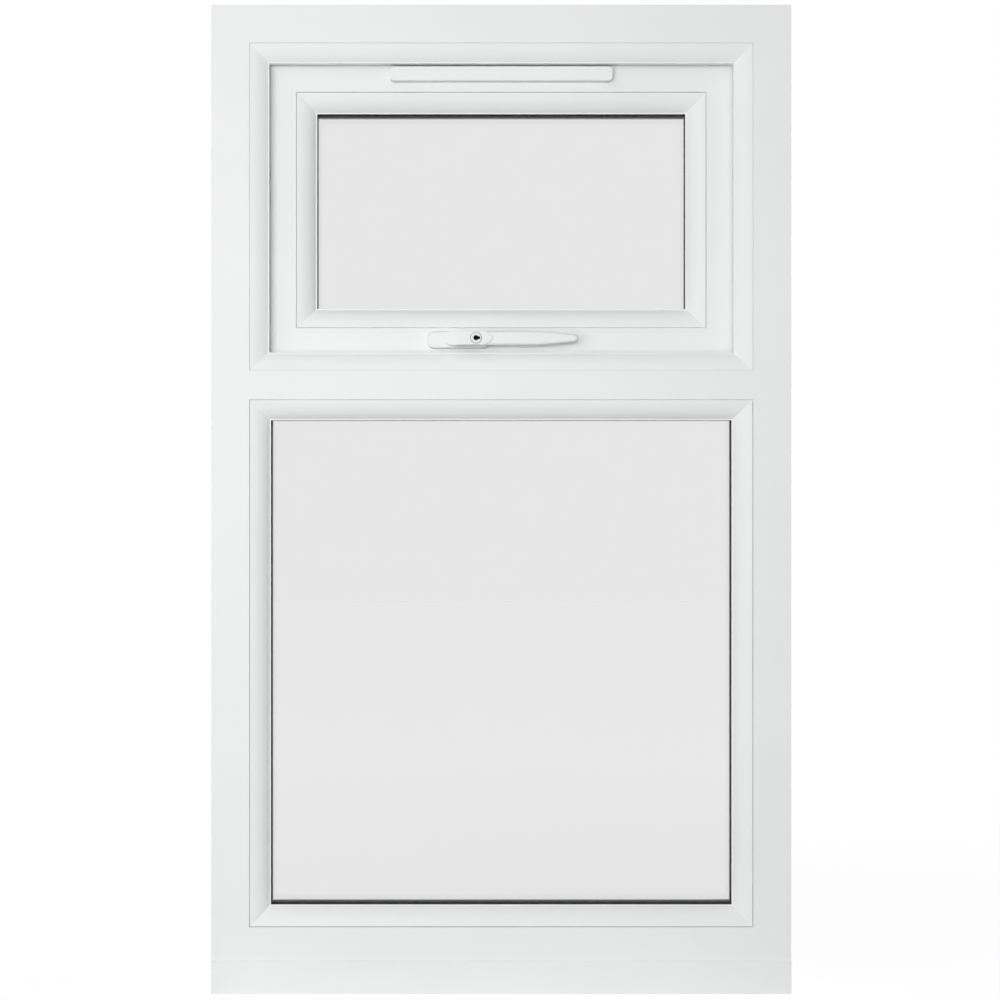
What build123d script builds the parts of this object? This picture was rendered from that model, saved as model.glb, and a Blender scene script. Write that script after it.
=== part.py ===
"""Top-hung casement window over a fixed light, in white hollow plastic profiles, with its cill.

Frame: +X to the right seen from the room, +Y out to the weather, +Z up, millimetres. The origin is
under the middle of the cill, at half the depth of the outer frame. Sections are drawn as u, the way
from a ring's own edge into its opening, and d, the depth behind a reference face.
"""
import os
from math import acos, cos, degrees, pi, radians, sin, sqrt, tan

from build123d import *

# Outer frame and cill
WINDOW_WIDTH = 610.0
WINDOW_HEIGHT = 1040.0
FRAME_DEPTH = 70.0
FRAME_FACE = 40.0
TRANSOM_FACE = 30.0
FIXED_LIGHT_SHARE = 37 / 60
OUTER_WALL = 2.8
INNER_WEB = 1.6
FIXING_BORE = 8.5
FIXING_FROM_CORNER = 150.0
FIXING_DEPTH = 27.5
DRAIN_LENGTH = 28.0
DRAIN_HEIGHT = 5.0
DRAIN_FROM_EDGE = 110.0
CILL_SEAT_HEIGHT = 30.0
CILL_PROJECTION = 78.0
CILL_LIP = 2.0
CILL_LIP_RISE = 5.0
CILL_LIP_CHAMFER = 0.5
CILL_NOSE_HEIGHT = 19.0
CILL_NOSE_ROUND = 4.0
CILL_FALL_SHARE = 0.05
CILL_DRIP = 5.0
CILL_CAP = 3.0

# Upstand that the sash closes on, round the top light
UPSTAND_REACH = 19.9
UPSTAND_STEP = 0.5
UPSTAND_LINE = 0.7
UPSTAND_LINE_DEPTH = 1.4
UPSTAND_DROP = 8.3
UPSTAND_LAND = 1.2
UPSTAND_BULGE = 1.6
UPSTAND_DEPTH = 19.8
LIP_CHAMFER = 0.8

# Outer leg of the fixed light, and of the sash
LEG_REACH = 20.0
LEG_NOSE = 4.0
LEG_SLOPE = 9.0

# Glazing
BEAD_STEP = 0.5
BEAD_DROP = 11.5
BEAD_BULGE = 2.3
BEAD_REACH = 21.5
BEAD_LAND = 1.2
BEAD_LINE = 0.9
BEAD_LINE_DEPTH = 3.0
BEAD_LIP = 1.0
BEAD_WALL = 1.8
TOE_DEPTH = 2.0
TOE_START = 4.0
TOE_WIDTH = 3.2
TOE_CLEARANCE = 0.2
PANE = 4.0
CAVITY = 20.0
GASKET = 3.0
OUTER_GASKET = 3.7
GASKET_INSET = 0.4
GASKET_FLARE = 0.8
GASKET_REACH = 12.0
EDGE_CLEARANCE = 5.0
SPACER_REACH = 12.5
PACKER_LENGTH = 30.0

# Sash
SASH_CLEARANCE = 12.0
SASH_SET_BACK = 23.8
SASH_FACE = 34.8
SASH_OVERLAP = 8.0
SASH_SEAL_GAP = 4.0
SASH_FLANGE = 16.0
FLANGE_CORNER = 2.5
SEAL_WIDTH = 6.0
SEAL_FOOT = 1.2
SEAL_CLEARANCE = 0.4
SEAL_FROM_LIP = 0.4
EUROGROOVE_WIDTH = 16.4
EUROGROOVE_STEP = 3.0
EUROGROOVE_CHANNEL = 12.0
EUROGROOVE_DEPTH = 9.0

# Friction stays, one each side
STAY_FROM_TOP = 14.0
STAY_SHORT_ARM = 62.9
STAY_SHORT_TILT = -6.88
STAY_SHORT_PIVOT_FROM_WEATHER = 12.0
STAY_LONG_PIVOT_STEP = 16.0
STAY_LONG_PIVOT_DROP = 139.8
STAY_SASH_PIVOT_STEP = 8.8
STAY_SASH_PIVOT_DROP = 22.0
STAY_ARM_WIDTH = 9.0
STAY_ARM_THICKNESS = 2.5
STAY_BAR_THICKNESS = 2.5
STAY_BAR_WIDTH = 22.0
STAY_BAR_LENGTH = 200.0
STAY_TRACK_THICKNESS = 2.5
STAY_TRACK_WIDTH = 27.0
STAY_TRACK_LIP = 1.0
STAY_END = 8.0
STAY_PIN = 5.0
STAY_PIN_FIT = 0.06
STAY_FREE_PIN_PLAY = 0.8
STAY_SIDE_PLAY = 0.3
STAY_SCREW = 4.2

# Handle, on the bottom rail of the sash
BACKSET = 22.0
HANDLE_AXIS_X = -45.5
HANDLE_BASE_LENGTH = 67.3
HANDLE_BASE_WIDTH = 18.1
HANDLE_BASE_THICKNESS = 9.0
HANDLE_BASE_CORNER = 8.0
HANDLE_BASE_ROUND = 2.4
HANDLE_NECK = 13.0
HANDLE_GAP = 0.3
LEVER_STAND_OFF = 25.0
LEVER_THICKNESS = 9.5
LEVER_TAIL = 13.4
LEVER_LENGTH = 125.8
LEVER_WIDTH = 14.6
LEVER_TIP_WIDTH = 7.2
LEVER_TAPER_START_SHARE = 0.62
LEVER_ROUND = 2.6
LEVER_TAIL_RUN = 15.0
LEVER_TAIL_FALL = 4.0
CAP_RISE = 1.6
CAP_ROUND = 0.6
CAP_LENGTH = 50.3
CAP_NOSE_SHARE = 0.72
LOCK_FROM_AXIS = 19.1
LOCK_BORE = 12.0
LOCK_FIT = 0.08
LOCK_DEPTH = 8.0
LOCK_PROUD = 0.6
LOCK_RIM = 0.9
LOCK_DISH = 0.5
KEYWAY_ROUND = 5.4
KEYWAY_SLOT = 2.8
KEYWAY_REACH = 4.4
KEYWAY_DEPTH = 6.0
SPINDLE = 7.0
SPINDLE_FIT = 0.05
SPINDLE_HOLE = 12.0

# Espagnolette in the bottom edge of the sash
GEAR_MODULE = 1.25
GEAR_TEETH = 12
GEAR_PRESSURE_ANGLE = 25.0
GEAR_BACKLASH = 0.3
GEAR_WIDTH = 7.0
GEAR_ROOT_CLEARANCE = 0.4
RACK_TEETH = 9
GEARBOX_LENGTH = 62.0
GEARBOX_WIDTH = 15.0
GEARBOX_WALL = 0.6
GEARBOX_PLAY = 0.25
FACEPLATE_LENGTH = 300.0
FACEPLATE_THICKNESS = 3.0
FACEPLATE_WIDTH = 16.0
ROD_WIDTH = 10.0
ROD_THICKNESS = 3.0
ROD_PLAY = 0.3
ROD_END = 14.0
CAM_FROM_END = 40.0
CAM_STEM = 7.0
CAM_HEAD = 11.0
CAM_HEAD_THICKNESS = 2.4
CAM_REACH = 8.0
CAM_SLOT_PLAY = 1.0
CAM_SLOT_SPARE = 2.0
KEEP_LENGTH = 46.0
KEEP_WIDTH = 22.0
KEEP_THICKNESS = 1.5
KEEP_LIP_RISE = 1.4
KEEP_LIP_WIDTH = 4.0
KEEP_LIP_SHARE = 0.5
KEEP_SCREW = 4.2

# Trickle vent in the top rail of the sash
VENT_LENGTH = 237.0
VENT_HEIGHT = 15.8
VENT_PROJECTION = 10.0
VENT_CORNER = 5.0
VENT_ROUND = 1.6
VENT_WALL = 1.4
VENT_FROM_TOP = 9.3
VENT_BACK_GAP = 0.3
VENT_SLOT_LENGTH = 96.0
VENT_SLOT_HEIGHT = 8.0
VENT_SLOT_SPACING = 106.0
VENT_BARREL = 2.8
VENT_PIN = 1.6
VENT_PIN_FIT = 0.06
VENT_PIN_LENGTH = 5.0
VENT_EAR = 2.5
VENT_EAR_GAP = 0.3
VENT_EAR_SWING = 1.2
VENT_EAR_FROM_END = 3.6
VENT_PLATE = 1.5
VENT_PLATE_MARGIN = 2.4
HOOD_LENGTH = 240.0
HOOD_HEIGHT = 26.0
HOOD_PROJECTION = 14.0
HOOD_TOP_SHARE = 0.35
HOOD_WALL = 1.6

OVERRUN = 30.0

# Worked-out places
INSIDE_Y = -FRAME_DEPTH / 2
FRAME_RECT = (-WINDOW_WIDTH / 2, WINDOW_WIDTH / 2, CILL_SEAT_HEIGHT, WINDOW_HEIGHT)
LIGHT_HALF = WINDOW_WIDTH / 2 - FRAME_FACE
FIXED_BOTTOM = CILL_SEAT_HEIGHT + FRAME_FACE
LIGHT_HEIGHT = WINDOW_HEIGHT - FRAME_FACE - TRANSOM_FACE - FIXED_BOTTOM
FIXED_TOP = FIXED_BOTTOM + LIGHT_HEIGHT * FIXED_LIGHT_SHARE
VENT_BOTTOM = FIXED_TOP + TRANSOM_FACE
VENT_TOP = WINDOW_HEIGHT - FRAME_FACE
FIXED_RECT = (-LIGHT_HALF, LIGHT_HALF, FIXED_BOTTOM, FIXED_TOP)
VENT_RECT = (-LIGHT_HALF, LIGHT_HALF, VENT_BOTTOM, VENT_TOP)
SASH_HALF = LIGHT_HALF - SASH_CLEARANCE
SASH_BOTTOM = VENT_BOTTOM + SASH_CLEARANCE
SASH_TOP = VENT_TOP - SASH_CLEARANCE
SASH_RECT = (-SASH_HALF, SASH_HALF, SASH_BOTTOM, SASH_TOP)
GLASS_RECT = (SASH_FACE - SASH_HALF, SASH_HALF - SASH_FACE, SASH_BOTTOM + SASH_FACE, SASH_TOP - SASH_FACE)
SASH_Y = INSIDE_Y + SASH_SET_BACK
BEAD_BACK = BEAD_DROP + BEAD_LIP
INNER_PANE_D = BEAD_BACK + GASKET
CAVITY_D = INNER_PANE_D + PANE
OUTER_PANE_D = CAVITY_D + CAVITY
UNIT_BACK_D = OUTER_PANE_D + PANE
LEG_D = UNIT_BACK_D + OUTER_GASKET
FLANGE_D = FRAME_DEPTH + SASH_SEAL_GAP - SASH_SET_BACK
SASH_DEPTH = FLANGE_D + SASH_FLANGE
FLANGE_REACH = SASH_CLEARANCE + SASH_OVERLAP
SASH_OUT_Y = SASH_Y + SASH_DEPTH
STAY_SHORT_PIVOT_DEPTH = FRAME_DEPTH - STAY_SHORT_PIVOT_FROM_WEATHER
STAY_DEPTH_MIDDLE = STAY_SHORT_PIVOT_DEPTH - STAY_LONG_PIVOT_STEP / 2
GROOVE_D = STAY_DEPTH_MIDDLE - SASH_SET_BACK
GROOVE_Y = INSIDE_Y + STAY_DEPTH_MIDDLE
HANDLE_Z = SASH_BOTTOM + BACKSET


def save(shape, name):
    """Write one sub-part."""
    export_step(shape, f"parts/{name}.step")


def outline(start, *steps):
    """A face from lines, given as end points, and arcs, given as (middle point, end point)."""
    edges = []
    here = start
    for step in steps:
        if isinstance(step[0], tuple):
            edges.append(ThreePointArc(here, step[0], step[1]))
            here = step[1]
        else:
            edges.append(Line(here, step))
            here = step
    if here != start:
        edges.append(Line(here, start))
    return make_face(edges)


def bulged(start, end, bulge):
    """An arc step that stands proud of its chord, towards smaller depths."""
    run = end[0] - start[0]
    fall = end[1] - start[1]
    chord = sqrt(run * run + fall * fall)
    middle = ((start[0] + end[0]) / 2 + fall / chord * bulge, (start[1] + end[1]) / 2 - run / chord * bulge)
    return (middle, end)


def rectangle(u_low, u_high, d_low, d_high):
    """A plain rectangle of a section."""
    corners = ((u_low, d_low), (u_high, d_low), (u_high, d_high), (u_low, d_high))
    return make_face(Polyline(*corners, close=True))


def block(x_range, y_range, z_range):
    """A box between two limits each way."""
    size = [high - low for low, high in (x_range, y_range, z_range)]
    middle = [(high + low) / 2 for low, high in (x_range, y_range, z_range)]
    return Pos(*middle) * Box(*size)


def mitred(section, length):
    """A section run along one side of a ring, cut at 45 degrees through its edge line at each end."""
    box = section.bounding_box()
    low = box.min.X - OVERRUN
    high = box.max.X + OVERRUN
    bar = extrude(Pos(0, 0, low) * section, length - 2 * low)
    corners = ((low, low), (high, high), (high, length - high), (low, length - low))
    cut = make_face(Polyline(*corners, close=True))
    prism = extrude(Plane.XZ * cut, amount=box.max.Y + OVERRUN, both=True)
    return bar & prism


def ring(section, rect, front_y):
    """The four mitred sides of a rectangular ring, as left, right, top and bottom."""
    x_low, x_high, z_low, z_high = rect
    places = {
        "left": (z_high - z_low, Plane((x_low, front_y, z_low), x_dir=(1, 0, 0), z_dir=(0, 0, 1))),
        "right": (z_high - z_low, Plane((x_high, front_y, z_high), x_dir=(-1, 0, 0), z_dir=(0, 0, -1))),
        "top": (x_high - x_low, Plane((x_low, front_y, z_high), x_dir=(0, 0, -1), z_dir=(1, 0, 0))),
        "bottom": (x_high - x_low, Plane((x_high, front_y, z_low), x_dir=(0, 0, 1), z_dir=(-1, 0, 0))),
    }
    return {side: plane.location * mitred(section, length) for side, (length, plane) in places.items()}


def joined_ring(section, rect, front_y):
    """A ring whose corners are welded, as one solid."""
    sides = ring(section, rect, front_y)
    return sides["left"] + sides["top"] + sides["right"] + sides["bottom"]


def along_x(section_yz, x_low, x_high):
    """A section drawn in Y and Z, run from one X to another."""
    return Pos(x_low, 0, 0) * extrude(Plane.YZ * section_yz, x_high - x_low)


def rod_y(x, z, diameter, y_low, y_high):
    """A round bar along Y."""
    return Pos(x, (y_low + y_high) / 2, z) * Rot(90, 0, 0) * Cylinder(diameter / 2, y_high - y_low)


def rod_x(y, z, diameter, x_low, x_high):
    """A round bar along X."""
    return Pos((x_low + x_high) / 2, y, z) * Rot(0, 90, 0) * Cylinder(diameter / 2, x_high - x_low)


def frame_box(face):
    """The hollow box that every frame length shares: a bead chamber, a main chamber and a drain chamber."""
    far = face - OUTER_WALL
    third = FRAME_DEPTH / 4
    section = rectangle(0, face, 0, FRAME_DEPTH)
    section -= rectangle(OUTER_WALL, far - TOE_DEPTH, OUTER_WALL, third)
    section -= rectangle(OUTER_WALL, far, third + INNER_WEB, FRAME_DEPTH - third)
    section -= rectangle(OUTER_WALL, far, FRAME_DEPTH - third + INNER_WEB, FRAME_DEPTH - OUTER_WALL)
    return section


def transom_box():
    """The transom's box: a bead groove needs a thick wall on its lower side only."""
    far = TRANSOM_FACE - OUTER_WALL
    third = FRAME_DEPTH / 4
    section = rectangle(0, TRANSOM_FACE, 0, FRAME_DEPTH)
    section -= rectangle(OUTER_WALL + TOE_DEPTH, far, OUTER_WALL, third)
    section -= rectangle(OUTER_WALL, far, third + INNER_WEB, FRAME_DEPTH - third)
    section -= rectangle(OUTER_WALL, far, FRAME_DEPTH - third + INNER_WEB, FRAME_DEPTH - OUTER_WALL)
    return section


def upstand_section():
    """The sculpted upstand: a fine groove, an ovolo face, a flat land at the lip and a hollow inside."""
    lip = (UPSTAND_REACH, UPSTAND_DROP)
    groove_floor = UPSTAND_STEP + UPSTAND_LINE_DEPTH
    ovolo_start = (UPSTAND_LINE, UPSTAND_STEP)
    ovolo_end = (UPSTAND_REACH - UPSTAND_LAND, UPSTAND_DROP)
    section = outline(
        (0, groove_floor),
        (UPSTAND_LINE, groove_floor),
        ovolo_start,
        bulged(ovolo_start, ovolo_end, UPSTAND_BULGE),
        lip,
        (UPSTAND_REACH, UPSTAND_DEPTH - LIP_CHAMFER),
        (UPSTAND_REACH - LIP_CHAMFER, UPSTAND_DEPTH),
        (0, UPSTAND_DEPTH),
    )
    inner = UPSTAND_REACH - OUTER_WALL
    section -= make_face(Polyline(
        (INNER_WEB, groove_floor + OUTER_WALL),
        (inner, UPSTAND_DROP + OUTER_WALL),
        (inner, UPSTAND_DEPTH - OUTER_WALL),
        (INNER_WEB, UPSTAND_DEPTH - OUTER_WALL),
        close=True,
    ))
    return section


def leg_section(depth_start, depth_end):
    """The outer glazing leg: flat to the gasket, blunt at the sight line and sloped to the weather."""
    section = make_face(Polyline(
        (0, depth_start),
        (LEG_REACH - LIP_CHAMFER, depth_start),
        (LEG_REACH, depth_start + LIP_CHAMFER),
        (LEG_REACH, depth_start + LEG_NOSE),
        (LEG_REACH - LEG_SLOPE, depth_end),
        (0, depth_end),
        close=True,
    ))
    section -= make_face(Polyline(
        (INNER_WEB, depth_start + OUTER_WALL),
        (LEG_REACH - OUTER_WALL, depth_start + OUTER_WALL),
        (LEG_REACH - OUTER_WALL, depth_start + LEG_NOSE),
        (LEG_REACH - LEG_SLOPE - OUTER_WALL / 2, depth_end - OUTER_WALL),
        (INNER_WEB, depth_end - OUTER_WALL),
        close=True,
    ))
    return section


def bead_section():
    """A glazing bead: joint line, ovolo face, flat land, hollow, and a toe that clips into the groove."""
    toe_low = TOE_START + TOE_CLEARANCE
    toe_high = TOE_START + TOE_WIDTH - TOE_CLEARANCE
    ovolo_start = (BEAD_LINE, BEAD_STEP)
    ovolo_end = (BEAD_REACH - BEAD_LAND, BEAD_DROP)
    section = outline(
        (0, BEAD_STEP + BEAD_LINE_DEPTH),
        (BEAD_LINE, BEAD_STEP + BEAD_LINE_DEPTH),
        ovolo_start,
        bulged(ovolo_start, ovolo_end, BEAD_BULGE),
        (BEAD_REACH, BEAD_DROP),
        (BEAD_REACH, BEAD_BACK),
        (0, BEAD_BACK),
        (0, toe_high),
        (TOE_CLEARANCE - TOE_DEPTH, toe_high),
        (TOE_CLEARANCE - TOE_DEPTH, toe_low),
        (0, toe_low),
    )
    section -= make_face(Polyline(
        (BEAD_LINE + BEAD_WALL, BEAD_STEP + BEAD_LINE_DEPTH + BEAD_WALL),
        (BEAD_REACH / 2, BEAD_BACK - BEAD_WALL * 2),
        (BEAD_REACH / 2, BEAD_BACK - BEAD_WALL),
        (BEAD_LINE + BEAD_WALL, BEAD_BACK - BEAD_WALL),
        close=True,
    ))
    return section


def sash_section():
    """The sash: a box with a hardware groove, a flange over the frame and an outer glazing leg."""
    slope_start = SASH_FACE + LEG_REACH - LEG_SLOPE
    section = make_face(Polyline(
        (0, 0),
        (SASH_FACE, 0),
        (SASH_FACE, LEG_D),
        (SASH_FACE + LEG_REACH - LIP_CHAMFER, LEG_D),
        (SASH_FACE + LEG_REACH, LEG_D + LIP_CHAMFER),
        (SASH_FACE + LEG_REACH, LEG_D + LEG_NOSE),
        (slope_start, SASH_DEPTH),
        (FLANGE_CORNER - FLANGE_REACH, SASH_DEPTH),
        (-FLANGE_REACH, SASH_DEPTH - FLANGE_CORNER),
        (-FLANGE_REACH, FLANGE_D),
        (0, FLANGE_D),
        close=True,
    ))
    half_step = EUROGROOVE_WIDTH / 2
    half_channel = EUROGROOVE_CHANNEL / 2
    section -= rectangle(-OUTER_WALL, EUROGROOVE_STEP, GROOVE_D - half_step, GROOVE_D + half_step)
    section -= rectangle(0, EUROGROOVE_DEPTH, GROOVE_D - half_channel, GROOVE_D + half_channel)
    far = SASH_FACE - OUTER_WALL
    groove_low = GROOVE_D - half_step - OUTER_WALL
    groove_high = GROOVE_D + half_step + OUTER_WALL
    rear = LEG_D + OUTER_WALL
    section -= rectangle(OUTER_WALL, far - TOE_DEPTH, OUTER_WALL, groove_low)
    section -= rectangle(EUROGROOVE_DEPTH + OUTER_WALL, far, groove_low + INNER_WEB, groove_high - INNER_WEB)
    section -= rectangle(OUTER_WALL, far, groove_high, LEG_D - INNER_WEB)
    section -= rectangle(OUTER_WALL - FLANGE_REACH, 0, FLANGE_D + OUTER_WALL, SASH_DEPTH - OUTER_WALL)
    section -= rectangle(INNER_WEB, far, rear, SASH_DEPTH - OUTER_WALL)
    section -= make_face(Polyline(
        (SASH_FACE, rear),
        (SASH_FACE + LEG_REACH - OUTER_WALL, rear),
        (SASH_FACE + LEG_REACH - OUTER_WALL, LEG_D + LEG_NOSE),
        (slope_start - OUTER_WALL / 2, SASH_DEPTH - OUTER_WALL),
        (SASH_FACE, SASH_DEPTH - OUTER_WALL),
        close=True,
    ))
    return section


def seal_section(u_low, seat, tip):
    """A bubble seal on a flat foot, from its seat to its tip."""
    foot = seat + SEAL_FOOT * (1 if tip > seat else -1)
    return outline(
        (u_low, seat),
        (u_low + SEAL_WIDTH, seat),
        (u_low + SEAL_WIDTH, foot),
        ((u_low + SEAL_WIDTH / 2, tip), (u_low, foot)),
    )


def bead_groove():
    """The groove that a bead's toe clips into."""
    return rectangle(-TOE_DEPTH, 0, TOE_START, TOE_START + TOE_WIDTH)


def drained(length, height):
    """A level length with two drain slots through its outer wall, for water from the glazing rebate."""
    place = WINDOW_WIDTH / 2 - DRAIN_FROM_EDGE
    slot = extrude(SlotOverall(DRAIN_LENGTH, DRAIN_HEIGHT), OVERRUN)
    for slot_x in (-place, place):
        corner = (slot_x, FRAME_DEPTH / 2 - 2 * OUTER_WALL, height)
        length -= Plane(corner, x_dir=(1, 0, 0), z_dir=(0, 1, 0)).location * slot
    return length


def make_frame():
    """Head, jambs and bottom rail with mitred corners, and the transom between the jambs."""
    boxes = ring(frame_box(FRAME_FACE), FRAME_RECT, INSIDE_Y)
    upstands = ring(upstand_section(), VENT_RECT, INSIDE_Y)
    legs = ring(leg_section(LEG_D, FRAME_DEPTH), FIXED_RECT, INSIDE_Y)
    groove = joined_ring(bead_groove(), FIXED_RECT, INSIDE_Y)
    transom_plane = Plane((LIGHT_HALF, INSIDE_Y, FIXED_TOP), x_dir=(0, 0, 1), z_dir=(-1, 0, 0))
    transom = transom_plane.location * extrude(transom_box(), 2 * LIGHT_HALF)
    for side in ("left", "right"):
        jamb = boxes[side] + upstands[side] + legs[side] - groove
        for height in (CILL_SEAT_HEIGHT + FIXING_FROM_CORNER, WINDOW_HEIGHT - FIXING_FROM_CORNER):
            jamb -= rod_x(INSIDE_Y + FIXING_DEPTH, height, FIXING_BORE, -WINDOW_WIDTH, WINDOW_WIDTH)
        save(jamb, f"frame_jamb_{side}")
    save(boxes["top"] + upstands["top"], "frame_head")
    bottom_rail = boxes["bottom"] + legs["bottom"] - groove
    save(drained(bottom_rail, CILL_SEAT_HEIGHT + FRAME_FACE / 2), "frame_bottom_rail")
    transom = transom + upstands["bottom"] + legs["top"] - groove
    save(drained(transom, FIXED_TOP + TRANSOM_FACE / 2), "transom")
    seal_u = UPSTAND_REACH - SEAL_FROM_LIP - SEAL_WIDTH
    seal = seal_section(seal_u, UPSTAND_DEPTH, SASH_SET_BACK - SEAL_CLEARANCE)
    save(joined_ring(seal, VENT_RECT, INSIDE_Y), "frame_weather_seal")


def cill_outline():
    """The cill's outside: room lip, seat, fall to the nose and a drip groove under it."""
    back = INSIDE_Y - CILL_LIP
    lip_top = CILL_SEAT_HEIGHT + CILL_LIP_RISE
    front = FRAME_DEPTH / 2 + CILL_PROJECTION
    seat_end = FRAME_DEPTH / 2
    nose_top = (front - CILL_NOSE_ROUND, CILL_NOSE_HEIGHT)
    corner = CILL_NOSE_ROUND * (1 - sqrt(1 / 2))
    return outline(
        (back, 0),
        (back, lip_top - CILL_LIP_CHAMFER),
        (back + CILL_LIP_CHAMFER, lip_top),
        (INSIDE_Y, lip_top),
        (INSIDE_Y, CILL_SEAT_HEIGHT),
        (seat_end, CILL_SEAT_HEIGHT),
        (seat_end + CILL_DRIP, CILL_SEAT_HEIGHT - CILL_PROJECTION * CILL_FALL_SHARE),
        nose_top,
        ((front - corner, CILL_NOSE_HEIGHT - corner), (front, CILL_NOSE_HEIGHT - CILL_NOSE_ROUND)),
        (front, 0),
        (front - CILL_DRIP, 0),
        (front - CILL_DRIP, CILL_DRIP),
        (front - 2 * CILL_DRIP, CILL_DRIP),
        (front - 2 * CILL_DRIP, 0),
    )


def make_cill():
    """The hollow cill and the two caps that close its ends."""
    solid = cill_outline()
    under = CILL_SEAT_HEIGHT - OUTER_WALL
    cell = (FRAME_DEPTH - OUTER_WALL) / 2
    hollow = solid
    for place in range(2):
        start = INSIDE_Y + place * (cell + INNER_WEB / 2)
        hollow -= rectangle(start, start + cell - INNER_WEB / 2, OUTER_WALL, under)
    nose = FRAME_DEPTH / 2 + CILL_PROJECTION - 2 * CILL_DRIP - OUTER_WALL
    hollow -= make_face(Polyline(
        (FRAME_DEPTH / 2 + OUTER_WALL, OUTER_WALL),
        (nose, OUTER_WALL),
        (nose, CILL_NOSE_HEIGHT - OUTER_WALL),
        (FRAME_DEPTH / 2 + CILL_DRIP, CILL_SEAT_HEIGHT - CILL_PROJECTION * CILL_FALL_SHARE - OUTER_WALL),
        (FRAME_DEPTH / 2 + OUTER_WALL, CILL_SEAT_HEIGHT - CILL_PROJECTION * CILL_FALL_SHARE - OUTER_WALL),
        close=True,
    ))
    end = WINDOW_WIDTH / 2
    save(along_x(hollow, CILL_CAP - end, end - CILL_CAP), "cill")
    save(along_x(solid, -end, CILL_CAP - end), "cill_end_cap_left")
    save(along_x(solid, end - CILL_CAP, end), "cill_end_cap_right")


def make_glazing(name, rect, front_y):
    """Beads, gaskets, sealed unit and packers of one light."""
    for side, bead in ring(bead_section(), rect, front_y).items():
        save(bead, f"{name}_bead_{side}")
    sight = BEAD_REACH - GASKET_INSET
    inner = outline(
        (sight - GASKET_REACH, BEAD_BACK),
        (sight, BEAD_BACK),
        (sight + GASKET_FLARE, INNER_PANE_D),
        (sight - GASKET_REACH, INNER_PANE_D),
    )
    save(joined_ring(inner, rect, front_y), f"{name}_bead_gasket")
    outer_sight = LEG_REACH - GASKET_INSET
    outer = rectangle(outer_sight - GASKET_REACH, outer_sight, UNIT_BACK_D, LEG_D)
    save(joined_ring(outer, rect, front_y), f"{name}_outer_gasket")
    x_low, x_high, z_low, z_high = rect
    x_range = (x_low + EDGE_CLEARANCE, x_high - EDGE_CLEARANCE)
    z_range = (z_low + EDGE_CLEARANCE, z_high - EDGE_CLEARANCE)
    inner_y = front_y + INNER_PANE_D
    outer_y = front_y + OUTER_PANE_D
    save(block(x_range, (inner_y, inner_y + PANE), z_range), f"{name}_inner_pane")
    save(block(x_range, (outer_y, outer_y + PANE), z_range), f"{name}_outer_pane")
    spacer = rectangle(EDGE_CLEARANCE, EDGE_CLEARANCE + SPACER_REACH, CAVITY_D, OUTER_PANE_D)
    save(joined_ring(spacer, rect, front_y), f"{name}_spacer_bar")
    packers = []
    for end in (x_low + 2 * PACKER_LENGTH, x_high - 3 * PACKER_LENGTH):
        deep = (inner_y, outer_y + PANE)
        packers.append(block((end, end + PACKER_LENGTH), deep, (z_low, z_low + EDGE_CLEARANCE)))
    save(Compound(children=packers), f"{name}_glazing_packers")


def make_sash():
    """The four sash lengths, with the vent slots and the gearbox pocket cut, and the weather seal."""
    sides = ring(sash_section(), SASH_RECT, SASH_Y)
    grooves = ring(bead_groove(), GLASS_RECT, SASH_Y)
    for side in sides:
        sides[side] -= grooves[side]
    through = (SASH_Y - OVERRUN, SASH_OUT_Y + OVERRUN)
    slot_z = VENT_MIDDLE_Z
    for centre in (-VENT_SLOT_SPACING / 2, VENT_SLOT_SPACING / 2):
        span = (centre - VENT_SLOT_LENGTH / 2, centre + VENT_SLOT_LENGTH / 2)
        sides["top"] -= block(span, through, (slot_z - VENT_SLOT_HEIGHT / 2, slot_z + VENT_SLOT_HEIGHT / 2))
    half = GEARBOX_WIDTH / 2 + GEARBOX_PLAY
    reach = GEARBOX_LENGTH / 2 + GEARBOX_PLAY
    sides["bottom"] -= block(
        (HANDLE_AXIS_X - reach, HANDLE_AXIS_X + reach),
        (GROOVE_Y - half, GROOVE_Y + half),
        (SASH_BOTTOM + FACEPLATE_THICKNESS, GEARBOX_TOP + GEARBOX_PLAY),
    )
    sides["bottom"] -= rod_y(HANDLE_AXIS_X, HANDLE_Z, SPINDLE_HOLE, SASH_Y - OVERRUN, GROOVE_Y)
    save(sides["top"], "sash_top_rail")
    save(sides["bottom"], "sash_bottom_rail")
    save(sides["left"], "sash_stile_left")
    save(sides["right"], "sash_stile_right")
    seal_low = -FLANGE_REACH + (SASH_OVERLAP - SEAL_WIDTH) / 2
    seal = seal_section(seal_low, FLANGE_D, FRAME_DEPTH - SASH_SET_BACK + SEAL_CLEARANCE)
    save(joined_ring(seal, SASH_RECT, SASH_Y), "sash_weather_seal")


def stay_pivots():
    """The four pivots of a stay, as Y and Z: short arm on frame and sash, long arm on frame and sash."""
    sash_z = SASH_TOP - STAY_FROM_TOP
    tilt = radians(STAY_SHORT_TILT)
    short_frame = (INSIDE_Y + STAY_SHORT_PIVOT_DEPTH, sash_z - STAY_SHORT_ARM * cos(tilt))
    short_sash = (short_frame[0] + STAY_SHORT_ARM * sin(tilt), sash_z)
    long_frame = (short_frame[0] - STAY_LONG_PIVOT_STEP, short_frame[1] - STAY_LONG_PIVOT_DROP)
    long_sash = (short_sash[0] - STAY_SASH_PIVOT_STEP, short_sash[1] - STAY_SASH_PIVOT_DROP)
    return short_frame, short_sash, long_frame, long_sash


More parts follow.
